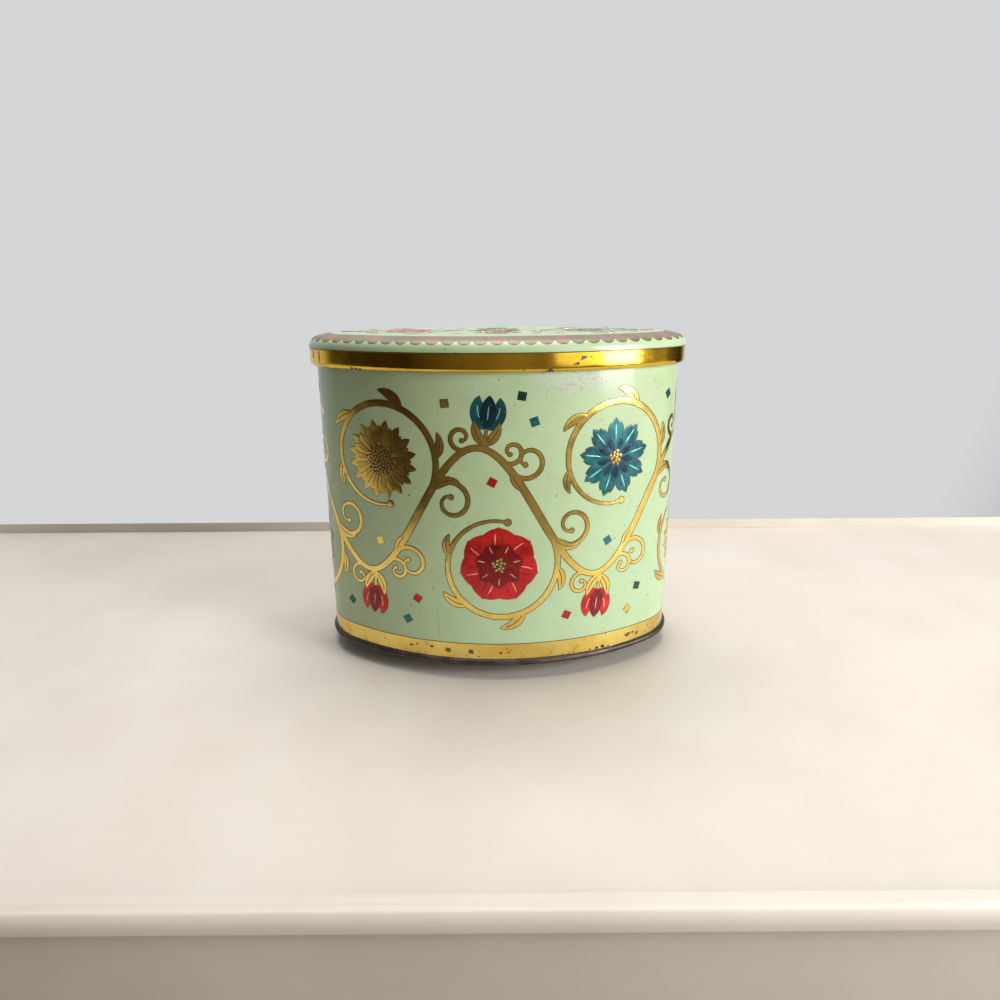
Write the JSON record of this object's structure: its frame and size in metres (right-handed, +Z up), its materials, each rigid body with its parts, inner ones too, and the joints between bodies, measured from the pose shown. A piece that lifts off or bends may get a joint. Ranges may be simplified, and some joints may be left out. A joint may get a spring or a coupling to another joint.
{
  "type": "oval slip-lid tin",
  "caption": "Oval tinplate box with straight enamelled walls, a rolled base seam and a lift-off slip lid with a gold band, for keeping biscuits, sweets or small things.",
  "frame": {"origin": "on the surface that the tin stands on, under the middle of the oval", "axes": "+X along the long side, to the right as seen from the front; +Y from front to back; +Z up"},
  "size_m": [0.152, 0.0908, 0.1282],
  "materials": {
    "green_enamel": "gloss",
    "gold_lacquer": "polished",
    "tarnished_tinplate": "worn",
    "bright_tinplate": "satin",
    "red_print": "gloss",
    "teal_print": "gloss",
    "dark_print": "gloss"
  },
  "bodies": {
    "tin": {"body_wall": "green_enamel", "base_panel": "tarnished_tinplate"},
    "lid": {"lid_panel": "green_enamel", "lid_band": "gold_lacquer"}
  },
  "joints": [
    {"name": "lid_lift", "type": "slide", "parent": "tin", "child": "lid", "axis": [0, 0, 1], "range_m": [0, 0.06]}
  ]
}
